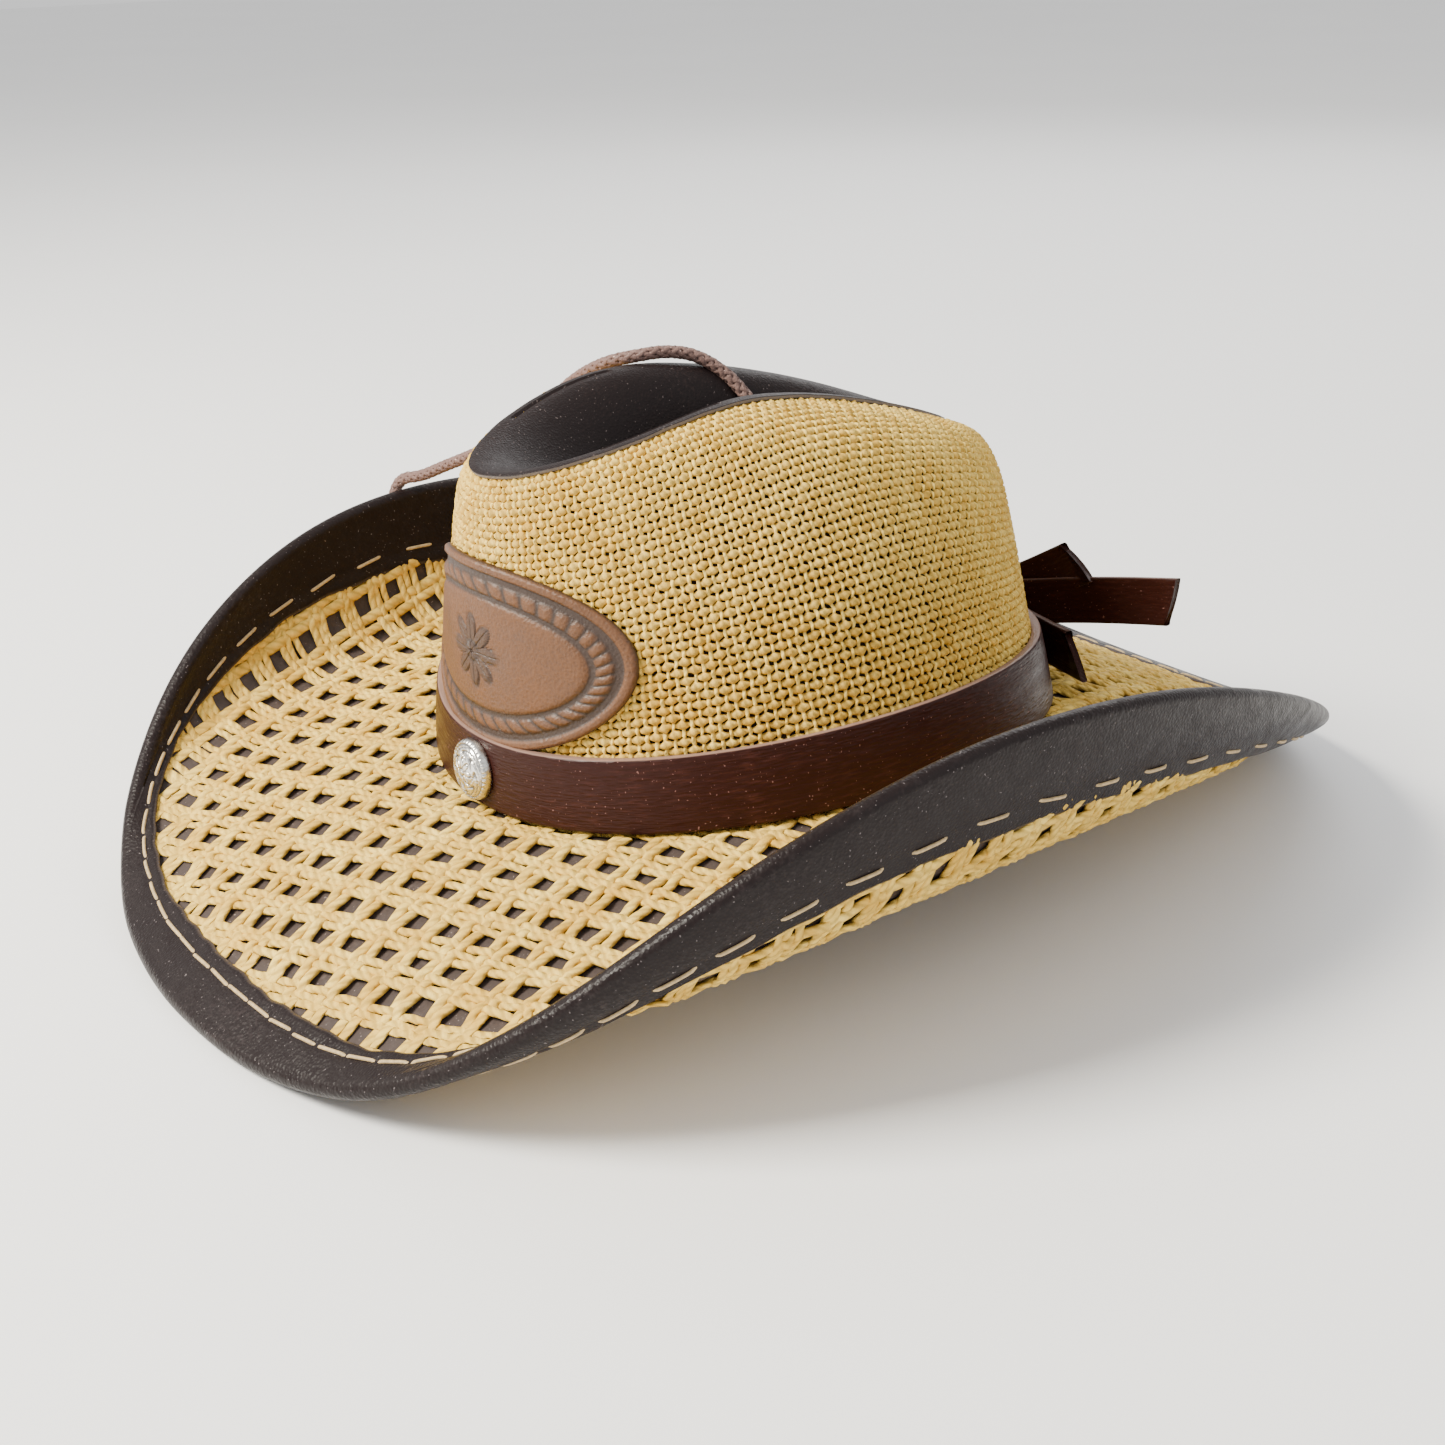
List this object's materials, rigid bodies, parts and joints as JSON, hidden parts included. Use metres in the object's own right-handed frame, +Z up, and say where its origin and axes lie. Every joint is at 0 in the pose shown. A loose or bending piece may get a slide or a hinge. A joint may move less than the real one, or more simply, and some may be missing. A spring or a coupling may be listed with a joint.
{
  "type": "cowboy hat",
  "caption": "Cowboy hat of open straw weave with a dented crown, upswept leather-bound brim, leather band, tooled oval badge and braided lace",
  "frame": {"origin": "centre of the hat's footprint, on the surface that it stands on with its crown up", "axes": "+Z up through the crown, -Y towards the front of the hat, +X towards the wearer's left"},
  "size_m": [0.3274, 0.4153, 0.1663],
  "materials": {
    "straw_weave": "open plain weave of twisted straw yarn, matt",
    "dark_leather": "near-black brown grain leather, satin",
    "core_leather": "grey-brown grained leather, satin",
    "lining_cloth": "dark brown cloth, matt",
    "band_leather": "dark reddish-brown smooth leather, satin",
    "tooled_leather": "tooled tan leather with darkened grooves",
    "thread": "twisted tan thread",
    "rim_wire": "drawn steel wire",
    "stud_metal": "engraved silver-coloured metal, darkened in the grooves",
    "sweatband_leather": "smooth brown leather, matt",
    "lace_leather": "round braided leather lace, greyish brown"
  },
  "bodies": {
    "root": {"crown_weave": "straw_weave", "crown_lining": "lining_cloth", "crown_top_leather": "dark_leather", "crown_badge": "tooled_leather", "brim_upper_weave": "straw_weave", "brim_core": "core_leather", "brim_lower_weave": "straw_weave", "rim_wire": "rim_wire", "rim_binding": "dark_leather", "binding_stitches_upper": "thread", "binding_stitches_lower": "thread", "sweatband": "sweatband_leather", "sweatband_stitches": "thread", "hat_band": "band_leather", "stud": "stud_metal", "stud_washer": "stud_metal", "band_keeper": "band_leather", "band_tail_long": "band_leather", "band_tail_short": "band_leather", "band_end": "band_leather", "lace_tab": "lace_leather", "chin_lace": "lace_leather", "lace_knot": "lace_leather"}
  },
  "joints": []
}
